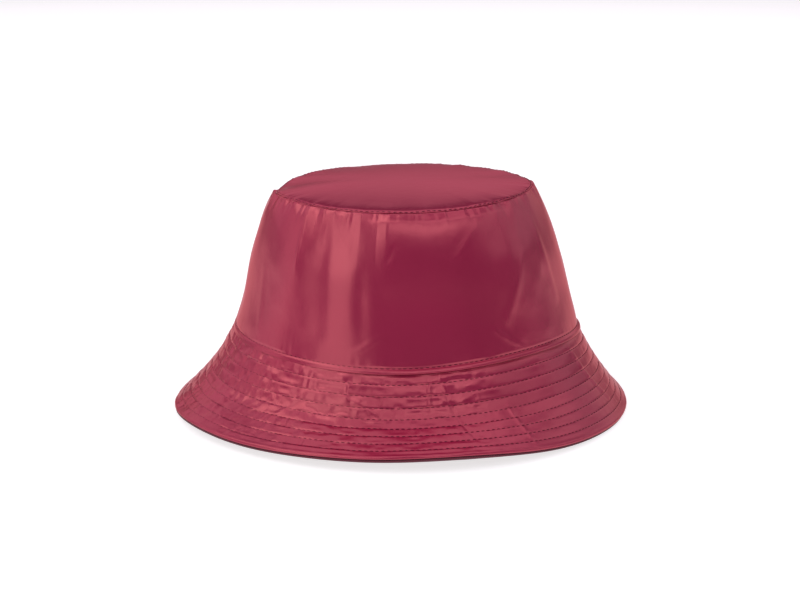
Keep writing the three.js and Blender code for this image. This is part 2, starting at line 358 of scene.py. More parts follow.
FOLD_COLUMNS = ("azimuth", "station", "to_azimuth", "to_station", "width", "height")
# A fold fades as half a wave does, less this share of it at each end.
FOLD_END = 0.1


def fold_relief(azimuth, station, folds, width_round, slant):
    """Ridges (+) and creases (-) along straight lines between two places, each faded at its ends."""
    total = 0
    degrees = np.degrees(azimuth) % 360
    for fold in folds:
        x = (degrees - fold["azimuth"] + 180) % 360 - 180
        x = x * width_round / 360
        y = (station - fold["station"]) * slant
        end_x = (fold["to_azimuth"] - fold["azimuth"]) * width_round / 360
        end_y = (fold["to_station"] - fold["station"]) * slant
        along = np.clip((x * end_x + y * end_y) / (end_x**2 + end_y**2), 0, 1)
        away = np.hypot(x - along * end_x, y - along * end_y)
        fade = np.sqrt(np.sin(np.pi * lerp(FOLD_END, 1 - FOLD_END, along)))
        total = total + fold["height"] * bump(away, fold["width"]) * fade
    return total


# The quilted brim: its length round the hat, and how strongly it is crinkled, in metres, by azimuth.
BRIM_ROUND = 0.7
BRIM_CRINKLE = [
    (15, 0.00012), (60, 0.00026), (100, 0.00018), (140, 0.00026), (180, 0.00028), (192, 0.00048),
    (205, 0.00056), (238, 0.0005), (258, 0.00042), (266, 0.00026), (272, 0.00028), (277, 0.00044),
    (288, 0.00042), (297, 0.00012), (325, 0.00007), (336, 0.0001), (350, 0.00016),
]
BRIM_CRINKLE_SEED, BRIM_DENT_SEED = 300, 41
# Facets that a channel's lines share, those that each line has to itself, and where the lines lie across it.
SHARED_FACETS = [(0.45, 3.0, 8.0), (0.35, 0.8, 1.7)]
LINE_FACETS = [(0.6, 2.0, 6.0), (0.4, 0.9, 2.2)]
CHANNEL_LINES = (0.16, 0.5, 0.84)
# How much of a crinkle and of a fold is left at a stitch row, and how the crinkles calm down near the edge.
CRINKLE_AT_ROW, FOLD_AT_ROW = 0.2, 0.4
EDGE_CALM = {"from_row": 8.2, "to_row": 8.9, "loss": 0.7}
# Sharp dents, as a share of the crinkle's strength, and slow ones.
BRIM_DENTS = {"share": 0.35, "round_cells": 96, "up_cells": 8}
BRIM_FIELD = {"height": 0.00025, "round_cells": 40, "up_cells": 5}
BRIM_FOLDS = named_rows(FOLD_COLUMNS, [
    (276.6, 2.1, 276.9, 2.4, 0.0012, 0.0006),
    (252.5, 2.12, 252.8, 2.27, 0.0012, 0.0005),
    (250, 2.235, 263, 2.43, 0.001, 0.0004),
    (279.3, 2.02, 282, 2.27, 0.0008, -0.0004),
    (282, 2.27, 288.5, 2.82, 0.0009, -0.0004),
    (334, 2.1, 341.5, 2.75, 0.0018, 0.0005),
    (238, 2.3, 231, 2.66, 0.0012, 0.0004),
    (300.5, 2.45, 303, 2.95, 0.0011, 0.0003),
])
# How far the channels puff out between the stitch rows, in metres, by azimuth.
BRIM_PUFF = [
    (20, 0.0003), (120, 0.0004), (170, 0.0004), (184, 0.00026), (198, 0.00008), (262, 0.0001), (345, 0.0001),
]
PUFF_POWER = 5
ROW_GROOVE = {"depth": 0.00011, "width": 0.0003}
EDGE_ROLL = {"rise": 0.0003, "place": 0.0008, "width": 0.0006}
SEAM_SHADE = {"depth": 0.0007, "place": 0.0012, "width": 0.0007}
# How much of a stitch shows by azimuth. On the left the thread is drawn into the cloth.
THREAD_SHOWS = [(60, 1), (170, 0.8), (200, 0.35), (240, 0.45), (255, 0.7), (268, 1)]


def channel_of(station):
    """Which channel of the brim a station is in, and how far across it."""
    rows = row_station(np.arange(BRIM["channels"] + 1))
    place = np.interp(station, rows, np.arange(BRIM["channels"] + 1))
    channel = np.minimum(np.floor(place).astype(int), BRIM["channels"] - 1)
    return channel, place - channel


def pillow(across):
    """0 at the stitch rows and 1 in the middle of a channel."""
    return 1 - np.abs(2 * across - 1) ** PUFF_POWER


def row_groove(azimuth, station):
    """Each stitch row draws the cloth in along a narrow groove."""
    rows = row_station(np.arange(1, BRIM["channels"]))
    away = np.abs(station[..., None] - rows).min(-1) * BRIM["slant"]
    return -ROW_GROOVE["depth"] * bump(away, ROW_GROOVE["width"]) * along_table(azimuth, THREAD_SHOWS)


def brim_crinkle(azimuth, station, seed):
    """Short folds that run across each channel, in straight facets held at the stitch rows."""
    channel, across = channel_of(station)
    first, middle, last = CHANNEL_LINES
    total = np.zeros(azimuth.shape)
    for k in range(BRIM["channels"]):
        rng = np.random.default_rng(seed + k)
        inside = channel == k
        place, t = azimuth[inside], across[inside]
        shared = facet_sum(place, rng, SHARED_FACETS)
        lines = [shared + facet_sum(place, rng, LINE_FACETS) for _ in CHANNEL_LINES]
        upper = np.clip((t - first) / (middle - first), 0, 1)
        lower = np.clip((t - middle) / (last - middle), 0, 1)
        height = np.where(t < middle, lerp(lines[0], lines[1], upper), lerp(lines[1], lines[2], lower))
        total[inside] = height * lerp(CRINKLE_AT_ROW, 1, pillow(t))
    return total


def brim_relief(azimuth, station):
    """A relief is how far the cloth stands proud of the smooth surface."""
    across = channel_of(station)[1]
    share = np.clip(station - BASE_SEAM, 0, 1)
    strength = along_table(azimuth, BRIM_CRINKLE)
    calm = smooth(station, row_station(EDGE_CALM["from_row"]), row_station(EDGE_CALM["to_row"]))
    from_seam = (station - BASE_SEAM) * BRIM["slant"]
    from_edge = (BRIM_EDGE - station) * BRIM["slant"]
    relief = along_table(azimuth, BRIM_PUFF) * pillow(across) + row_groove(azimuth, station)
    crinkle = brim_crinkle(azimuth, station, BRIM_CRINKLE_SEED)
    relief = relief + strength * crinkle * (1 - calm * EDGE_CALM["loss"])
    relief = relief + EDGE_ROLL["rise"] * bump(from_edge - EDGE_ROLL["place"], EDGE_ROLL["width"])
    shade = SEAM_SHADE["depth"] * bump(from_seam - SEAM_SHADE["place"], SEAM_SHADE["width"])
    relief = relief - shade * along_table(azimuth, WELT_STRENGTH)
    rng = np.random.default_rng(BRIM_DENT_SEED)
    dents = BRIM_DENTS["share"] * strength * crumple(azimuth, share, rng, BRIM_DENTS)
    relief = relief + dents * pillow(across) + soft_dents(azimuth, share, rng, BRIM_FIELD)
    folds = fold_relief(azimuth, station, BRIM_FOLDS, BRIM_ROUND, BRIM["slant"])
    return relief + folds * lerp(FOLD_AT_ROW, 1, pillow(across))


# The crown wall: its length round the hat and the groove at a seam.
WALL_ROUND = 0.534
SEAM_GROOVE = {"depth": 0.0007, "width": 0.0006, "power": 1.4}
# Gathers beside a seam: where they start, how far the fine ones reach, how much that varies and its least,
# and how far the broad ones reach. Breaks are the least and most degrees between them.
PUCKER = {"start": 0.0016, "reach": 0.003, "spread": 0.0022, "least": 0.0014, "broad": 0.009}
FINE_FACETS = [(0.6, 1.4, 3.6), (0.5, 0.9, 2.2)]
BROAD_BREAKS, REACH_BREAKS = (3.5, 9.0), (3.0, 9.0)
# The gathers of each seam: the seed of their draws, and how high the fine and the broad ones are.
WALL_TOP_GATHERS, WALL_BASE_GATHERS = (500, 0.0013, 0.0014), (560, 0.0004, 0.0004)
TIP_GATHERS = (700, 0.00035, 0.0004)
REVERSE_TOP_GATHERS, REVERSE_BASE_GATHERS = (520, 0.0002, 0.0003), (540, 0.0002, 0.0002)
# How strongly the wall gathers below the tip seam and above the base seam, by azimuth.
TIP_GATHER = [
    (20, 0.8), (100, 0.8), (180, 1), (205, 1), (235, 1.1), (262, 1), (272, 0.6), (295, 0.8), (310, 0.6),
]
BASE_GATHER = [(20, 0.5), (180, 0.6), (215, 0.5), (228, 1), (262, 1), (272, 0.4), (300, 0.7), (318, 0.4)]
# The turned lip above the base seam: its stitch line, where it is full and how proud, its lap over the brim,
# the dip at its stitches, and how far above them the gathers are full.
WELT = {
    "stitch": 0.0024, "full": 0.0006, "proud": 0.00125, "lap": 0.001,
    "dip": 0.0002, "dip_width": 0.0006, "clear": 0.001,
}
WELT_STRENGTH = [
    (60, 0.9), (150, 0.6), (200, 0.3), (235, 0.35), (258, 0.8), (270, 1.2), (330, 1.25), (350, 1),
]
WALL_FOLDS = named_rows(FOLD_COLUMNS, [
    (241, 1.12, 243.5, 1.8, 0.0045, 0.0004),
    (254, 1.4, 255.5, 1.8, 0.004, -0.0004),
    (225.5, 1.1, 226.5, 1.42, 0.0014, 0.0003),
    (266, 1.22, 263.5, 1.3, 0.001, -0.0003),
    (300.5, 1.1, 288, 1.32, 0.0022, 0.0002),
    (318, 1.35, 306, 1.75, 0.003, 0.0004),
    (331, 1.15, 336, 1.7, 0.0032, 0.0004),
    (262, 1.78, 252, 1.9, 0.0012, 0.0003),
    (205, 1.5, 212, 1.95, 0.003, 0.0002),
    (300, 1.8, 310, 1.95, 0.0012, 0.0003),
    (75, 1.1, 70, 1.7, 0.0025, 0.0005),
    (112, 1.2, 118, 1.8, 0.0022, -0.0005),
    (150, 1.15, 146, 1.6, 0.0024, 0.0004),
    (35, 1.2, 40, 1.75, 0.0026, -0.0005),
])
# Slow and finer dents of the wall, and how creased it is by azimuth. It is smooth at the front.
WALL_SEED = 77
WALL_FIELD = {"height": 0.0004, "round_cells": 18, "up_cells": 4}
WALL_FINE_FIELD = {"height": 0.00012, "round_cells": 60, "up_cells": 9}
WALL_CREASED = [
    (30, 1.3), (180, 1.2), (215, 0.8), (240, 1.1), (256, 0.9), (266, 0.35), (296, 0.35), (312, 1), (340, 1),
]
# The seams hold the wall still: how far from them its dents start and are full.
WALL_HELD = {"base_start": 0.002, "base_full": 0.012, "tip_full": 0.006}
# The front fills out a little below the tip seam: how far by azimuth, and how far below the seam.
FRONT_FULL = [(250, 0), (264, 0.0012), (302, 0.0012), (322, 0)]
FULL_PLACE = 0.010


def seam_pucker(azimuth, distance, gathers):
    """Fine gathers that die out quickly and longer, broader ones. The seam itself holds still."""
    seed, fine_height, broad_height = gathers
    rng = np.random.default_rng(seed)
    fine = fine_height * facet_sum(azimuth, rng, FINE_FACETS)
    broad = broad_height * facets(azimuth, rng, *BROAD_BREAKS)
    reach = PUCKER["reach"] + PUCKER["spread"] * facets(azimuth, rng, *REACH_BREAKS)
    fine = fine * np.exp(-distance / np.maximum(reach, PUCKER["least"]))
    return (fine + broad * np.exp(-distance / PUCKER["broad"])) * smooth(distance, 0, PUCKER["start"])


def groove(distance):
    return -SEAM_GROOVE["depth"] * np.exp(-((distance / SEAM_GROOVE["width"]) ** SEAM_GROOVE["power"]))


def welt_height(azimuth, from_base):
    """The turned lip is drawn in at its stitch line and stands out below it."""
    strength = along_table(azimuth, WELT_STRENGTH)
    out = smooth(-from_base, -WELT["stitch"], -WELT["full"])
    dip = WELT["dip"] * bump(from_base - WELT["stitch"], WELT["dip_width"])
    return (WELT["proud"] * out - dip) * strength


def wall_body(azimuth, station):
    share = np.clip(station - TIP_SEAM, 0, 1)
    below = (station - TIP_SEAM) * WALL_SLANT / FULL_PLACE
    rng = np.random.default_rng(WALL_SEED)
    body = soft_dents(azimuth, share, rng, WALL_FIELD) + soft_dents(azimuth, share, rng, WALL_FINE_FIELD)
    body = body * along_table(azimuth, WALL_CREASED)
    body = body + along_table(azimuth, FRONT_FULL) * below * np.exp(1 - below)
    return body + fold_relief(azimuth, station, WALL_FOLDS, WALL_ROUND, WALL_SLANT)


def wall_relief(azimuth, station):
    from_tip = (station - TIP_SEAM) * WALL_SLANT
    from_base = (BASE_SEAM - station) * WALL_SLANT
    above_welt = np.maximum(from_base - WELT["stitch"], 0)
    high = along_table(azimuth, TIP_GATHER) * seam_pucker(azimuth, from_tip, WALL_TOP_GATHERS)
    low = along_table(azimuth, BASE_GATHER) * seam_pucker(azimuth, above_welt, WALL_BASE_GATHERS)
    low = low * smooth(from_base, WELT["full"], WELT["stitch"] + WELT["clear"])
    held = smooth(from_base, WALL_HELD["base_start"], WALL_HELD["base_full"])
    body = wall_body(azimuth, station) * held * smooth(from_tip, 0, WALL_HELD["tip_full"])
    return groove(from_tip) + high + low + body + welt_height(azimuth, from_base)


# The tip panel: its stitch row, and slow waves in plan, so that they stay smooth at its centre.
TIP_STITCH = {"from_seam": 0.0016, "depth": 0.00024, "width": 0.0006}
TIP_SWELL = {"height": 0.00014, "held": 0.25}
TIP_WAVES = named_rows(
    ("across", "up", "phase"), [(2.1, 1.0, 0.4), (-1.3, 2.4, 1.9), (3.4, -2.2, 4.0), (1.2, 4.1, 2.7)],
)


def tip_swell(azimuth, share):
    x, y = np.cos(azimuth) * share, np.sin(azimuth) * share
    total = 0
    for wave in TIP_WAVES:
        total = total + np.sin(wave["across"] * x + wave["up"] * y + wave["phase"])
    return TIP_SWELL["height"] * total * smooth(1 - share, 0, TIP_SWELL["held"])


def tip_relief(azimuth, station):
    from_seam = (TIP_SEAM - station) * TIP["half_width"]
    relief = groove(from_seam) + seam_pucker(azimuth, from_seam, TIP_GATHERS)
    relief = relief - TIP_STITCH["depth"] * bump(from_seam - TIP_STITCH["from_seam"], TIP_STITCH["width"])
    return relief + tip_swell(azimuth, np.clip(station, 0, 1))


# Meshes.
CLOTH_MAP = "cloth"


def add_piece(name, points, faces, material, cloth=None):
    """Add a mesh as a piece. cloth holds a place on the cloth for each corner of each face, in order."""
    mesh = bpy.data.meshes.new(name)
    mesh.from_pydata(points.tolist(), [], faces)
    if cloth is not None:
        cloth_map = mesh.uv_layers.new(name=CLOTH_MAP)
        cloth_map.data.foreach_set("uv", cloth.reshape(-1).astype(np.float32))
    mesh.polygons.foreach_set("use_smooth", np.ones(len(mesh.polygons), bool))
    mesh.materials.append(material)
    piece = bpy.data.objects.new(name, mesh)
    bpy.context.scene.collection.objects.link(piece)
    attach(piece, "root")
    return piece


def ring_faces(rows, columns, closed):
    """Quads between neighbouring rows, and between the last row and the first one where closed."""
    last = rows if closed else rows - 1
    i, j = np.meshgrid(np.arange(last), np.arange(columns), indexing="ij")
    below, beside = (i + 1) % rows, (j + 1) % columns
    corners = [i * columns + j, below * columns + j, below * columns + beside, i * columns + beside]
    return np.stack([c.ravel() for c in corners], -1)


def ring_cloth(grid):
    """Places on the cloth, in metres, for each corner of the quads of a closed band.

    The column at the front gives the way along, and the row a third of the way down the way round.
    """
    rows, columns = grid.shape[:2]
    front = grid[:, columns * 3 // 4]
    steps = np.linalg.norm(np.roll(front, -1, axis=0) - front, axis=1)
    along = np.concatenate([[0], np.cumsum(steps)])
    middle = grid[rows // 3]
    width_round = np.linalg.norm(middle - np.roll(middle, 1, axis=0), axis=1).sum()
    i, j = np.meshgrid(np.arange(rows), np.arange(columns), indexing="ij")
    left, right = j / columns * width_round, (j + 1) / columns * width_round
    corners = [(left, along[i]), (left, along[i + 1]), (right, along[i + 1]), (right, along[i])]
    return np.stack([np.stack([u.ravel(), v.ravel()], -1) for u, v in corners], 1)


def band_piece(name, grid, material):
    """A closed band, from rows that run down its outside and back up its inside."""
    faces = ring_faces(*grid.shape[:2], True)
    return add_piece(name, grid.reshape(-1, 3), faces.tolist(), material, ring_cloth(grid))


def panel_piece(name, grid, top, bottom, material):
    """A closed panel, from rows that run out over its top and back underneath, with two centres."""
    rows, columns = grid.shape[:2]
    points = np.concatenate([grid.reshape(-1, 3), [top], [bottom]])
    quads = ring_faces(rows, columns, False)
    j = np.arange(columns)
    beside = (j + 1) % columns
    first, last = rows * columns, (rows - 1) * columns
    upper = np.stack([np.full(columns, first), j, beside], -1)
    lower = np.stack([np.full(columns, first + 1), last + beside, last + j], -1)
    corners = np.concatenate([quads.ravel(), upper.ravel(), lower.ravel()])
    faces = quads.tolist() + upper.tolist() + lower.tolist()
    return add_piece(name, points, faces, material, points[corners, :2])


def on_floor(grid):
    grid[..., 2] = np.maximum(grid[..., 2], 0)
    return grid


def spaced(start, end, count, power=1.0):
    """Values from start to end, closer together at the start where the power is above 1."""
    return start + (end - start) * np.linspace(0, 1, count) ** power


# The outer shell. Rows of the brim's grid by channels: the steps in one, and how far in the ends lie.
CHANNEL_STEPS = (0, 0.06, 0.16, 0.3, 0.5, 0.7, 0.84, 0.94)
FIRST_ROW_IN, LAST_ROW_IN = 0.02, 0.03
INNER_BRIM_STATIONS = (2.01, 2.12, 2.24, 2.36, 2.5, 2.72, 2.9, 3.0)
# The turned edge of the brim: how far past the edge each row lies, as a share of its rounding, and how deep.
BRIM_TURN = ((0.0, -0.0001), (0.7, -0.0003), (1, -0.0007), (0.7, -0.00105))
# The turned edge of the lip: shares of its height and of its lap, then shares of the lap back underneath.
LIP_OUT = (1, 0.93, 0.72, 0.45)
LIP_DOWN = (0.35, 0.7, 0.92, 1)
LIP_UNDER = (0.9, 0.4, 0.05)
# The least height of the lip and the height of its underside.
LIP_LOW, LIP_GAP = 0.00035, 0.00022
# Rows of the wall's grid, by distance from a seam, and those of the tip's.
WALL_TOP_ROWS = {"to": 0.007, "count": 15, "power": 1.3}
WALL_MIDDLE_ROWS = {"from_tip": 0.0081, "from_base": 0.0068, "count": 42}
WALL_BASE_ROWS = {"from": 0.006, "count": 15}
WALL_INSIDE_ROWS = {"from_tip": 0.0012, "from_base": 0.0004, "count": 12}
TIP_ROWS = {"middle_end": 0.006, "middle": 22, "seam_start": 0.0052, "seam": 14, "power": 0.8}
TIP_FIRST = 0.05
TIP_INSIDE = {"from_seam": 0.0012, "stations": (0.85, 0.6, 0.3)}


def brim_rows():
    places = [channel + step for channel in range(BRIM["channels"]) for step in CHANNEL_STEPS]
    places[0] = FIRST_ROW_IN
    return row_station(places + [BRIM["channels"] - LAST_ROW_IN])


def outer_brim(material):
    top = layer(brim_rows(), brim_relief)
    past, depth = zip(*BRIM_TURN)
    edge = layer(BRIM_EDGE + EDGE_ROUND * np.array(past) / BRIM["slant"], np.array(depth)[:, None])
    inside = layer(INNER_BRIM_STATIONS[::-1], OUTER_INSIDE)
    return band_piece("brim_outer", np.concatenate([top, edge, inside]), material)


def wall_rows():
    top, middle, base = WALL_TOP_ROWS, WALL_MIDDLE_ROWS, WALL_BASE_ROWS
    near_tip = below_tip_seam(spaced(SEAM_GAP, top["to"], top["count"], top["power"]))
    ends = below_tip_seam(middle["from_tip"]), above_base_seam(middle["from_base"])
    near_base = above_base_seam(spaced(base["from"], 0, base["count"]))
    return np.concatenate([near_tip, spaced(*ends, middle["count"]), near_base])


def lip_height(azimuth, station):
    lap = (station - BASE_SEAM) * BRIM["slant"] / WELT["lap"]
    out = np.interp(lap, LIP_DOWN, LIP_OUT)
    return np.maximum(out * WELT["proud"] * along_table(azimuth, WELT_STRENGTH), LIP_LOW)


def outer_wall(material):
    lap = WELT["lap"] / BRIM["slant"]
    top = layer(wall_rows(), wall_relief)
    lip = layer(BASE_SEAM + np.array(LIP_DOWN) * lap, lip_height)
    under = layer(BASE_SEAM + np.array(LIP_UNDER) * lap, LIP_GAP)
    ends = above_base_seam(WALL_INSIDE_ROWS["from_base"]), below_tip_seam(WALL_INSIDE_ROWS["from_tip"])
    inside = layer(spaced(*ends, WALL_INSIDE_ROWS["count"]), OUTER_INSIDE)
    grid = np.concatenate([top, lip, under, inside])
    return band_piece("crown_wall_outer", grid, material)


def tip_rows():
    end = inside_tip_seam(TIP_ROWS["middle_end"])
    middle = spaced(TIP_FIRST, end, TIP_ROWS["middle"], TIP_ROWS["power"])
    near_seam = spaced(TIP_ROWS["seam_start"], SEAM_GAP, TIP_ROWS["seam"], TIP_ROWS["power"])
    return np.concatenate([middle, inside_tip_seam(near_seam)])


def tip_centre(proud):
    return tip_point(np.zeros(()), np.zeros(())) + [0, 0, proud]


def outer_tip(material):
    top = layer(tip_rows(), tip_relief)
    rows = [inside_tip_seam(TIP_INSIDE["from_seam"]), *TIP_INSIDE["stations"], TIP_FIRST]
    grid = np.concatenate([top, layer(rows, OUTER_INSIDE)])
    rise = float(tip_relief(np.zeros(1), np.zeros(1))[0])
    upper, lower = tip_centre(rise), tip_centre(OUTER_INSIDE)
    return panel_piece("crown_tip_outer", grid, upper, lower, material)


# The reverse shell. Its edge shows below the outer one, most at the front.
REVERSE_COLUMNS = 720
REVERSE_PUFF = 0.0005
REVERSE_CRINKLE = {"seed": 900, "height": 0.0002}
REVERSE_SEED = 88
REVERSE_FIELD = {"height": 0.0004, "round_cells": 30, "up_cells": 5}
# Shares of the gathers, grooves and waves that show inside, and how far the seams hold the dents.
REVERSE_SHARE = {"gathers": 0.6, "groove": 0.5, "swell": 0.5}
REVERSE_HELD = 0.01
# Depth of the hem by azimuth, and the rows between which it gets thick.
HEM_DEPTH = [
    (0, 0.0026), (180, 0.0024), (235, 0.0025), (262, 0.0030), (285, 0.0033), (300, 0.0027), (330, 0.0025),
]
HEM_ROWS = (8.0, 8.4)
# The rounded edge: how far past the edge each row lies, and how deep, as shares of its reach and depth.
EDGE_TURN = ((0.6, 0.0), (0.93, 0.25), (1, 0.5), (0.93, 0.75), (0.6, 1))
# Where the brim's outside ends past the edge, and the share of its slant at which its inside starts.
REVERSE_BRIM = {"past_edge": 0.0002, "inside_start": 0.008}
REVERSE_WALL = {"from_tip": 0.0024, "from_base": 0.0002, "outside_rows": 8, "inside_rows": 44}
REVERSE_TIP = {"from_seam": 0.0012, "outside_rows": 8, "inside_rows": 22}


def hem_inside(azimuth):
    return -along_table(azimuth, HEM_DEPTH)


def reverse_brim_relief(azimuth, station):
    across = channel_of(station)[1]
    crinkle = REVERSE_CRINKLE["height"] * brim_crinkle(azimuth, station, REVERSE_CRINKLE["seed"])
    hem = smooth(station, *row_station(HEM_ROWS)) * (hem_inside(azimuth) - REVERSE_INSIDE)
    return REVERSE_INSIDE + hem - (REVERSE_PUFF + crinkle) * pillow(across)


def reverse_edge_relief(azimuth, station):
    depth = np.array([depth for _, depth in EDGE_TURN])
    return lerp(REVERSE_OUTSIDE, hem_inside(azimuth), depth[:, None])


def reverse_brim(material):
    slant = BRIM["slant"]
    stations = [*INNER_BRIM_STATIONS[:-1], BRIM_EDGE + REVERSE_BRIM["past_edge"] / slant]
    outside = layer(stations, REVERSE_OUTSIDE, REVERSE_COLUMNS)
    reach = np.array([reach for reach, _ in EDGE_TURN]) * REVERSE_REACH
    edge = layer(BRIM_EDGE + reach / slant, reverse_edge_relief, REVERSE_COLUMNS)
    rows = brim_rows()[::-1]
    rows = rows[rows > BASE_SEAM + REVERSE_BRIM["inside_start"]]
    inside = layer(rows, reverse_brim_relief, REVERSE_COLUMNS)
    grid = on_floor(np.concatenate([outside, edge, inside]))
    return band_piece("brim_reverse", grid, material)


def reverse_wall_relief(azimuth, station):
    share = np.clip(station - TIP_SEAM, 0, 1)
    from_tip = (station - TIP_SEAM) * WALL_SLANT
    from_base = (BASE_SEAM - station) * WALL_SLANT
    soft = soft_dents(azimuth, share, np.random.default_rng(REVERSE_SEED), REVERSE_FIELD)
    held = smooth(from_base, 0, REVERSE_HELD) * smooth(from_tip, 0, REVERSE_HELD)
    pucker = seam_pucker(azimuth, from_tip, REVERSE_TOP_GATHERS)
    pucker = pucker + seam_pucker(azimuth, from_base, REVERSE_BASE_GATHERS)
    grooves = (groove(from_tip) + groove(from_base)) * REVERSE_SHARE["groove"]
    return REVERSE_INSIDE - soft * held - pucker * REVERSE_SHARE["gathers"] - grooves


def reverse_wall(material):
    top, base = below_tip_seam(REVERSE_WALL["from_tip"]), above_base_seam(REVERSE_WALL["from_base"])
    outside = layer(spaced(top, base, REVERSE_WALL["outside_rows"]), REVERSE_OUTSIDE, REVERSE_COLUMNS)
    inside = layer(spaced(base, top, REVERSE_WALL["inside_rows"]), reverse_wall_relief, REVERSE_COLUMNS)
    return band_piece("crown_wall_reverse", np.concatenate([outside, inside]), material)


def reverse_tip_relief(azimuth, station):
    end = inside_tip_seam(REVERSE_TIP["from_seam"])
    from_seam = (end - station) * TIP["half_width"]
    swell = tip_swell(azimuth, station) * REVERSE_SHARE["swell"]
    return REVERSE_INSIDE - swell - REVERSE_SHARE["groove"] * groove(from_seam)


def reverse_tip(material):
    end = inside_tip_seam(REVERSE_TIP["from_seam"])
    outside = layer(spaced(TIP_FIRST, end, REVERSE_TIP["outside_rows"]), REVERSE_OUTSIDE, REVERSE_COLUMNS)
    rows = spaced(end, TIP_FIRST, REVERSE_TIP["inside_rows"])
    grid = np.concatenate([outside, layer(rows, reverse_tip_relief, REVERSE_COLUMNS)])
    swell = float(tip_swell(0, 0)) * REVERSE_SHARE["swell"]
    upper, lower = tip_centre(REVERSE_OUTSIDE), tip_centre(REVERSE_INSIDE - swell)
    return panel_piece("crown_tip_reverse", grid, upper, lower, material)


# Stitches: each is a short bowed tube whose ends dip into the cloth. A stitch takes a share of the pitch,
# and its place and length vary a little. The last three tables run along one stitch.
STITCH_PITCH = 0.003
STITCH_SHARE = 0.72
STITCH_SHIFT = 0.00012
STITCH_LENGTHS = (0.92, 1.06)
STITCH_ALONG = (0.0, 0.12, 0.5, 0.88, 1)
STITCH_DIP = (-0.0004, -0.00005, 0.00008, -0.00005, -0.0004)
STITCH_WIDTH = (0.35, 0.95, 1.0, 0.95, 0.35)
# The thread, how far its middle stands out of the cloth as a share of its radius, and its sides.
THREAD_RADIUS = 0.00018
THREAD_OUT = 0.5
THREAD_SIDES, REVERSE_THREAD_SIDES = 5, 4
# Points that measure a row's length, and seeds of the rows' draws for each unit of station.
ROW_POINTS = 721
ROW_SEEDS = 1000


def stitch_row(station, relief, side):
    """Points along a row's stitches, the way out of the cloth there and how much of each shows."""
    ring = np.linspace(0, 2 * math.pi, ROW_POINTS)
    line = surface(ring, np.full(ring.shape, float(station)))
    length = np.concatenate([[0], np.cumsum(np.linalg.norm(np.diff(line, axis=0), axis=1))])
    count = int(round(length[-1] / STITCH_PITCH))
    rng = np.random.default_rng(int(station * ROW_SEEDS))
    starts = np.arange(count) / count * length[-1] + rng.uniform(-STITCH_SHIFT, STITCH_SHIFT, count)
    reach = length[-1] / count * STITCH_SHARE * rng.uniform(*STITCH_LENGTHS, count)
    places = starts[:, None] + reach[:, None] * np.array(STITCH_ALONG)
    azimuth = np.interp(places % length[-1], length, ring)
    stations = np.full(azimuth.shape, float(station))
    normal = surface_normal(azimuth, stations)
    height = relief(azimuth, stations) + side * (THREAD_RADIUS * THREAD_OUT + np.array(STITCH_DIP))
    return skin(azimuth, stations, height), normal, along_table(azimuth, THREAD_SHOWS)


def stitches_piece(name, rows, relief, side, material, sides=THREAD_SIDES):
    """The stitches of some rows as closed tubes. side is 1 outside and -1 on the reverse."""
    parts = [stitch_row(station, relief, side) for station in rows]
    points, normals, shows = map(np.concatenate, zip(*parts))
    tangent = np.gradient(points, axis=1)
    tangent /= np.linalg.norm(tangent, axis=-1, keepdims=True)
    across = np.cross(tangent, normals)
    turn = np.arange(sides) / sides * 2 * math.pi
    radius = (THREAD_RADIUS * shows * np.array(STITCH_WIDTH))[..., None, None]
    circle = np.cos(turn)[:, None] * across[:, :, None] + np.sin(turn)[:, None] * normals[:, :, None]
    tube = points[:, :, None] + circle * radius
    count, along = tube.shape[:2]
    local = np.arange(along * sides).reshape(along, sides)
    beside = np.roll(local, -1, axis=1)
    quads = np.stack([local[:-1], local[1:], beside[1:], beside[:-1]], -1).reshape(-1, 4)
    caps = np.stack([local[0], local[-1][::-1]])
    first = np.arange(count)[:, None, None] * along * sides
    faces = (first + quads).reshape(-1, 4).tolist() + (first + caps).reshape(-1, sides).tolist()
    return add_piece(name, tube.reshape(-1, 3), faces, material)


# Materials. A noise has a scale, a detail and a roughness.
NOISE_INPUTS = ("Scale", "Detail", "Roughness")
OUTER_RED = (0.28, 0.006, 0.054)
OUTER_RED_DEEP = (0.235, 0.004, 0.045)
OUTER_SURFACE = {"Roughness": 0.28, "IOR": 2, "Specular IOR Level": 1, "Specular Tint": (1, 0.27, 0.27, 1)}
OUTER_CLOUD, OUTER_CRINKLE = (22, 3, 0.5), (200, 1, 0.5)
CLOUD_RANGE = (0.2, 0.8)
# The cloth gets metallic where it turns away, which keeps its gloss red there.
FACING_BLEND, FACING_RANGE, METAL_RANGE = 0.5, (0.35, 0.85), (0, 0.6)
WEAVE = {"pitch": 0.0005, "share": 0.02, "height": 0.00005}
REVERSE_RED = (0.17, 0.012, 0.032)
REVERSE_RED_DEEP = (0.085, 0.006, 0.018)
TWILL_SURFACE = {"Roughness": 0.85, "Sheen Weight": 0.25, "Sheen Roughness": 0.5}
TWILL = {"wale_pitch": 0.0012, "weft_pitch": 0.0006, "weft_share": 0.35, "height": 0.00012, "strength": 0.8}
TWILL_FUZZ = (900, 3, 0.6)
FUZZ_RANGE, FUZZ_SHADE = (0.3, 0.7), (0.6, 1.1)
# The thread's colours are partly its own dark red and partly painted shade of the stitch holes it sinks into.
THREAD_RED = (0.09, 0.004, 0.018)
THREAD_RED_DEEP = (0.05, 0.002, 0.011)
THREAD_SURFACE = {"Roughness": 0.7, "Specular IOR Level": 0.2}
THREAD_CLOUD, THREAD_FIBRE = (2500, 2, 0.5), (5000, 2, 0.5)
FIBRE_HEIGHT = 0.00005
FLOOR_GREY, FLOOR_GREY_DEEP = (0.54, 0.54, 0.54), (0.5, 0.5, 0.5)
FLOOR_SURFACE = {
    "Roughness": 0.9, "Specular IOR Level": 0.1, "Emission Color": (1, 1, 1, 1), "Emission Strength": 0.72,
}
FLOOR_CLOUD = (3, 2, 0.5)


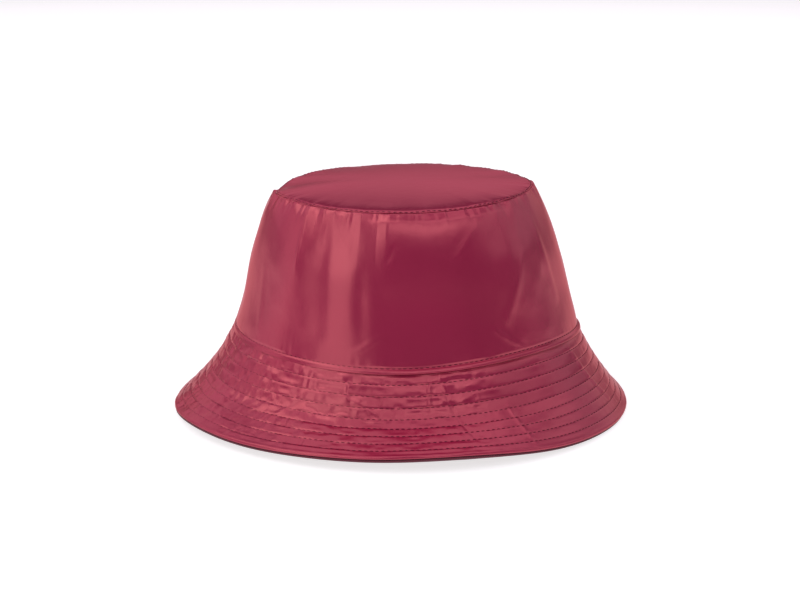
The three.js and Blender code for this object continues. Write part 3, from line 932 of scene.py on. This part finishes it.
def new_material(name, surface_values):
    """A material, its node tree and its shader, with values set on the shader's own sockets."""
    material = bpy.data.materials.new(name)
    material.use_nodes = True
    tree = material.node_tree
    shader = next(n for n in tree.nodes if n.type == "BSDF_PRINCIPLED")
    for key, value in surface_values.items():
        shader.inputs[key].default_value = value
    return material, tree, shader


def add(tree, kind, inputs=(), **settings):
    """Add a node. Each input is linked to a socket or set to a value."""
    node = tree.nodes.new(kind)
    for key, value in settings.items():
        setattr(node, key, value)
    for key, value in dict(inputs).items():
        socket = node.inputs[key]
        if isinstance(value, bpy.types.NodeSocket):
            tree.links.new(value, socket)
        else:
            socket.default_value = value
    return node


def math_node(tree, operation, *values):
    return add(tree, "ShaderNodeMath", dict(enumerate(values)), operation=operation).outputs[0]


def object_place(tree):
    return add(tree, "ShaderNodeTexCoord").outputs["Object"]


def cloth_coordinates(tree):
    """Cloth map in metres, split into the way round and the way along."""
    place = add(tree, "ShaderNodeUVMap", uv_map=CLOTH_MAP).outputs[0]
    parts = add(tree, "ShaderNodeSeparateXYZ", {0: place})
    return parts.outputs[0], parts.outputs[1]


def sine_wave(tree, value, pitch):
    turned = math_node(tree, "MULTIPLY", value, 2 * math.pi / pitch)
    return math_node(tree, "SINE", turned)


def noise(tree, size, place):
    inputs = dict(zip(NOISE_INPUTS, size))
    return add(tree, "ShaderNodeTexNoise", {**inputs, "Vector": place}).outputs["Fac"]


def ranged(tree, value, from_range, to_range):
    """A value moved from one range into another."""
    inputs = {"Value": value, "From Min": from_range[0], "From Max": from_range[1]}
    inputs.update({"To Min": to_range[0], "To Max": to_range[1]})
    return add(tree, "ShaderNodeMapRange", inputs).outputs["Result"]


def paint(tree, shader, share, low, high):
    """Colour the shader between two colours."""
    node = add(tree, "ShaderNodeMix", data_type="RGBA")
    node.inputs["A"].default_value = (*low, 1)
    node.inputs["B"].default_value = (*high, 1)
    tree.links.new(share, node.inputs["Factor"])
    tree.links.new(node.outputs["Result"], shader.inputs["Base Color"])


def emboss(tree, shader, height, distance, strength=1.0):
    """Bump the shader's surface."""
    node = add(tree, "ShaderNodeBump", {"Height": height, "Distance": distance, "Strength": strength})
    tree.links.new(node.outputs[0], shader.inputs["Normal"])


def shiny_weave():
    material, tree, shader = new_material("outer_weave", OUTER_SURFACE)
    place = object_place(tree)
    way_round, along = cloth_coordinates(tree)
    cloud = ranged(tree, noise(tree, OUTER_CLOUD, place), CLOUD_RANGE, (0, 1))
    paint(tree, shader, cloud, OUTER_RED_DEEP, OUTER_RED)
    facing = add(tree, "ShaderNodeLayerWeight", {"Blend": FACING_BLEND}).outputs["Facing"]
    tree.links.new(ranged(tree, facing, FACING_RANGE, METAL_RANGE), shader.inputs["Metallic"])
    threads = [sine_wave(tree, way, WEAVE["pitch"]) for way in (way_round, along)]
    weave = math_node(tree, "MULTIPLY", math_node(tree, "MULTIPLY", *threads), WEAVE["share"])
    emboss(tree, shader, math_node(tree, "ADD", weave, noise(tree, OUTER_CRINKLE, place)), WEAVE["height"])
    return material


def twill():
    material, tree, shader = new_material("reverse_twill", TWILL_SURFACE)
    place = object_place(tree)
    way_round, along = cloth_coordinates(tree)
    wale = sine_wave(tree, math_node(tree, "ADD", way_round, along), TWILL["wale_pitch"])
    weft = sine_wave(tree, math_node(tree, "SUBTRACT", way_round, along), TWILL["weft_pitch"])
    fuzz = ranged(tree, noise(tree, TWILL_FUZZ, place), FUZZ_RANGE, FUZZ_SHADE)
    shade = math_node(tree, "MULTIPLY", ranged(tree, wale, (-1, 1), (0, 1)), fuzz)
    paint(tree, shader, shade, REVERSE_RED_DEEP, REVERSE_RED)
    height = math_node(tree, "ADD", math_node(tree, "MULTIPLY", weft, TWILL["weft_share"]), wale)
    emboss(tree, shader, height, TWILL["height"], TWILL["strength"])
    return material


def thread():
    material, tree, shader = new_material("thread", THREAD_SURFACE)
    place = object_place(tree)
    # Both thread colours carry painted shade of the stitch holes on top of the thread's own red.
    paint(tree, shader, noise(tree, THREAD_CLOUD, place), THREAD_RED_DEEP, THREAD_RED)
    emboss(tree, shader, noise(tree, THREAD_FIBRE, place), FIBRE_HEIGHT)
    return material


def floor_material():
    material, tree, shader = new_material("floor", FLOOR_SURFACE)
    paint(tree, shader, noise(tree, FLOOR_CLOUD, object_place(tree)), FLOOR_GREY_DEEP, FLOOR_GREY)
    return material


# Camera, lights and floor.
CAMERA_AT = (-0.0009, -0.9548, 0.3125)
CAMERA_PITCH = 14.92
LENS, SENSOR = 77.43, 36.0
FLOOR_HALF = 9.0
AIM = (0, 0, 0.07)
# Softboxes by the way they lie from the hat: azimuth 0 is the camera's side and 90 the right.
LIGHT_COLUMNS = ("name", "azimuth", "elevation", "distance", "width", "height", "radiance", "colour")
LIGHTS = named_rows(LIGHT_COLUMNS, [
    ("ceiling", 180, 76, 3.0, 3.6, 3.0, 1.0, (1, 0.82, 0.96)),
    ("back_low", 180, 18, 2.6, 2.2, 1.0, 0.95, (1, 0.74, 1)),
    ("front_high_left", -46, 54, 2.2, 1.4, 0.8, 1.85, (1, 0.94, 1)),
    ("front_high", 0, 54, 2.2, 1.0, 0.8, 0.95, (1, 0.9, 1)),
    ("front_high_right", 46, 54, 2.2, 1.4, 0.8, 1.25, (0.96, 0.88, 1)),
    ("front_middle", 9, 34, 2.2, 2.0, 0.4, 2.2, (0.96, 0.92, 1)),
    ("right_middle", 48, 33, 2.2, 1.0, 0.4, 1.3, (0.96, 0.92, 1)),
    ("left_key", -50, 27, 2.2, 1.1, 0.8, 1.7, (0.95, 1, 1)),
    ("left_key_low", -46, 9, 2.2, 1.3, 0.9, 1.05, (0.95, 0.98, 1)),
    ("left_side", -90, 42, 2.2, 1.3, 1.1, 1.85, (1, 0.95, 0.95)),
    ("left_low", -97, 12, 2.2, 1.2, 0.9, 0.85, (1, 0.82, 0.9)),
    ("left_rear", -136, 22, 2.2, 1.5, 1.4, 0.95, (1, 0.8, 0.95)),
    ("right_front", 68, 23, 2.2, 0.9, 0.5, 0.75, (0.8, 0.95, 1)),
    ("right_side", 98, 38, 2.2, 1.6, 0.9, 0.9, (0.95, 0.9, 1)),
    ("right_low", 106, 16, 2.2, 1.5, 0.6, 0.7, (0.8, 0.95, 1)),
    ("right_rear", 142, 18, 2.2, 1.1, 1.2, 0.95, (0.9, 0.95, 1)),
])
WORLD = {"colour": (0.97, 0.97, 1), "strength": 0.05}


def make_camera():
    data = bpy.data.cameras.new("camera")
    data.lens, data.sensor_width = LENS, SENSOR
    camera = bpy.data.objects.new("camera", data)
    camera.location = CAMERA_AT
    camera.rotation_euler = (math.radians(90 - CAMERA_PITCH), 0, 0)
    bpy.context.scene.collection.objects.link(camera)
    bpy.context.scene.camera = camera


def make_light(light):
    data = bpy.data.lights.new(light["name"], "AREA")
    data.shape = "RECTANGLE"
    data.size, data.size_y = light["width"], light["height"]
    data.color = light["colour"]
    data.energy = light["radiance"] * math.pi * light["width"] * light["height"]
    azimuth, elevation = math.radians(light["azimuth"]), math.radians(light["elevation"])
    level = math.cos(elevation)
    away = Vector((math.sin(azimuth) * level, -math.cos(azimuth) * level, math.sin(elevation)))
    lamp = bpy.data.objects.new(light["name"], data)
    lamp.location = Vector(AIM) + away * light["distance"]
    lamp.rotation_euler = away.to_track_quat("Z", "Y").to_euler()
    lamp.visible_camera = False
    bpy.context.scene.collection.objects.link(lamp)


def make_world():
    world = bpy.data.worlds.new("studio")
    world.use_nodes = True
    background = next(n for n in world.node_tree.nodes if n.type == "BACKGROUND")
    background.inputs["Color"].default_value = (*WORLD["colour"], 1)
    background.inputs["Strength"].default_value = WORLD["strength"]
    bpy.context.scene.world = world


def make_floor():
    half = FLOOR_HALF
    corners = [(-half, -half, 0), (half, -half, 0), (half, half, 0), (-half, half, 0)]
    mesh = bpy.data.meshes.new("floor")
    mesh.from_pydata(corners, [], [(0, 1, 2, 3)])
    mesh.materials.append(floor_material())
    floor = bpy.data.objects.new("floor", mesh)
    bpy.context.scene.collection.objects.link(floor)


bpy.context.scene.view_settings.view_transform = "Standard"
make_camera()
make_world()
make_floor()
for softbox in LIGHTS:
    make_light(softbox)

weave_material, twill_material, thread_material = shiny_weave(), twill(), thread()
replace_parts(outer_tip(weave_material), "crown_tip")
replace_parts(outer_wall(weave_material), "crown_side")
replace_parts(outer_brim(weave_material), "brim")
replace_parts(reverse_tip(twill_material), "lining_tip")
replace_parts(reverse_wall(twill_material), "lining_side")
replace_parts(reverse_brim(twill_material), "lining_brim")

brim_row_stations = [float(row_station(row)) for row in range(1, BRIM["channels"])]
stitches_piece("brim_stitches", brim_row_stations, brim_relief, 1, thread_material)
stitches_piece(
    "brim_stitches_reverse", brim_row_stations, reverse_brim_relief, -1, thread_material, REVERSE_THREAD_SIDES
)
stitches_piece("base_topstitch", [above_base_seam(WELT["stitch"])], wall_relief, 1, thread_material)
stitches_piece("tip_topstitch", [inside_tip_seam(TIP_STITCH["from_seam"])], tip_relief, 1, thread_material)
